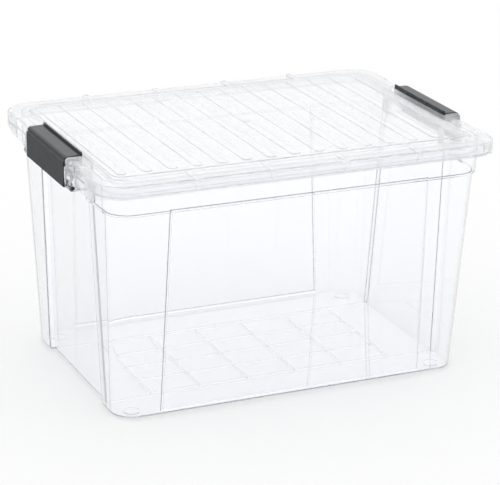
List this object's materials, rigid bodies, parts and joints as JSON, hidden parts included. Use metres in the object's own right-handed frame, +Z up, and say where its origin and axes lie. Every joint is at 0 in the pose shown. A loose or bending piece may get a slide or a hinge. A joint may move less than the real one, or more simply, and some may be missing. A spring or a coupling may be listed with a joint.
{
  "type": "latching storage tote",
  "caption": "Deep clear storage tote with drafted walls, a ribbed lid that lifts off, and a dark latch at each end that swings out on its pin.",
  "frame": {"origin": "middle of the base, at the level that the four feet stand on", "axes": "+X along the length towards the right-hand latch, +Y across the width towards the back, +Z up"},
  "size_m": [0.5938, 0.4214, 0.3519],
  "materials": {
    "clear_plastic": "clear moulded polypropylene, smooth",
    "latch_plastic": "dark blue-grey moulded plastic, satin",
    "pin_plastic": "dark moulded plastic, satin"
  },
  "bodies": {
    "tub_body": {"tub": "clear_plastic", "hinge_pin_left": "pin_plastic", "hinge_pin_right": "pin_plastic"},
    "lid_body": {"lid": "clear_plastic"},
    "latch_left_body": {"latch_left": "latch_plastic"},
    "latch_right_body": {"latch_right": "latch_plastic"}
  },
  "joints": [
    {"name": "lid_lift", "type": "slide", "parent": "tub_body", "child": "lid_body", "axis": [0, 0, 1], "range_m": [0, 0.01885]},
    {"name": "latch_right_hinge", "type": "hinge", "parent": "tub_body", "child": "latch_right_body", "pos_m": [0.29027, 0, 0.3095], "axis": [0, 1, 0], "range_deg": [0, 180.01]},
    {"name": "latch_left_hinge", "type": "hinge", "parent": "tub_body", "child": "latch_left_body", "pos_m": [-0.29027, 0, 0.3095], "axis": [0, -1, 0], "range_deg": [0, 180.01]}
  ],
  "couplings": [
    {"joint": "latch_right_hinge", "follows": "lid_lift", "rad_per_m": 166.67},
    {"joint": "latch_left_hinge", "follows": "lid_lift", "rad_per_m": 166.67}
  ]
}
